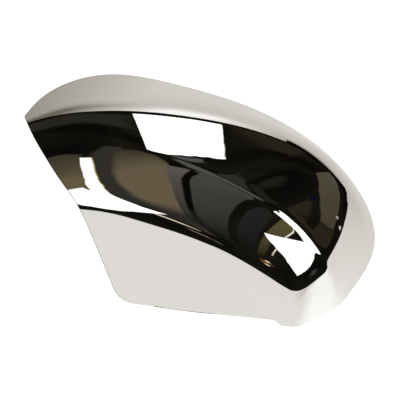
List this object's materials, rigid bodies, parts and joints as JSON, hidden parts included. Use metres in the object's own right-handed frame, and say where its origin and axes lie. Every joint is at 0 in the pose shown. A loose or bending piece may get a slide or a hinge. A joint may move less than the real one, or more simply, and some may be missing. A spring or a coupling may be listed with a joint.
{
  "type": "wing mirror cover",
  "caption": "Curved wing mirror cover, a thin moulded and chromed shell with a creased outer face, an open cut inner end, and clips and locating pegs inside.",
  "frame": {"origin": "centre of the plan outline, on the plane that the rim stands on", "axes": "+X from the open cut end to the outer tip, +Y from the lower rim to the upper rim, +Z from the rim up to the face"},
  "size_m": [0.24, 0.1444, 0.085],
  "materials": {
    "chrome_plating": "polished"
  },
  "bodies": {
    "root": {"cover": "chrome_plating"}
  },
  "joints": []
}
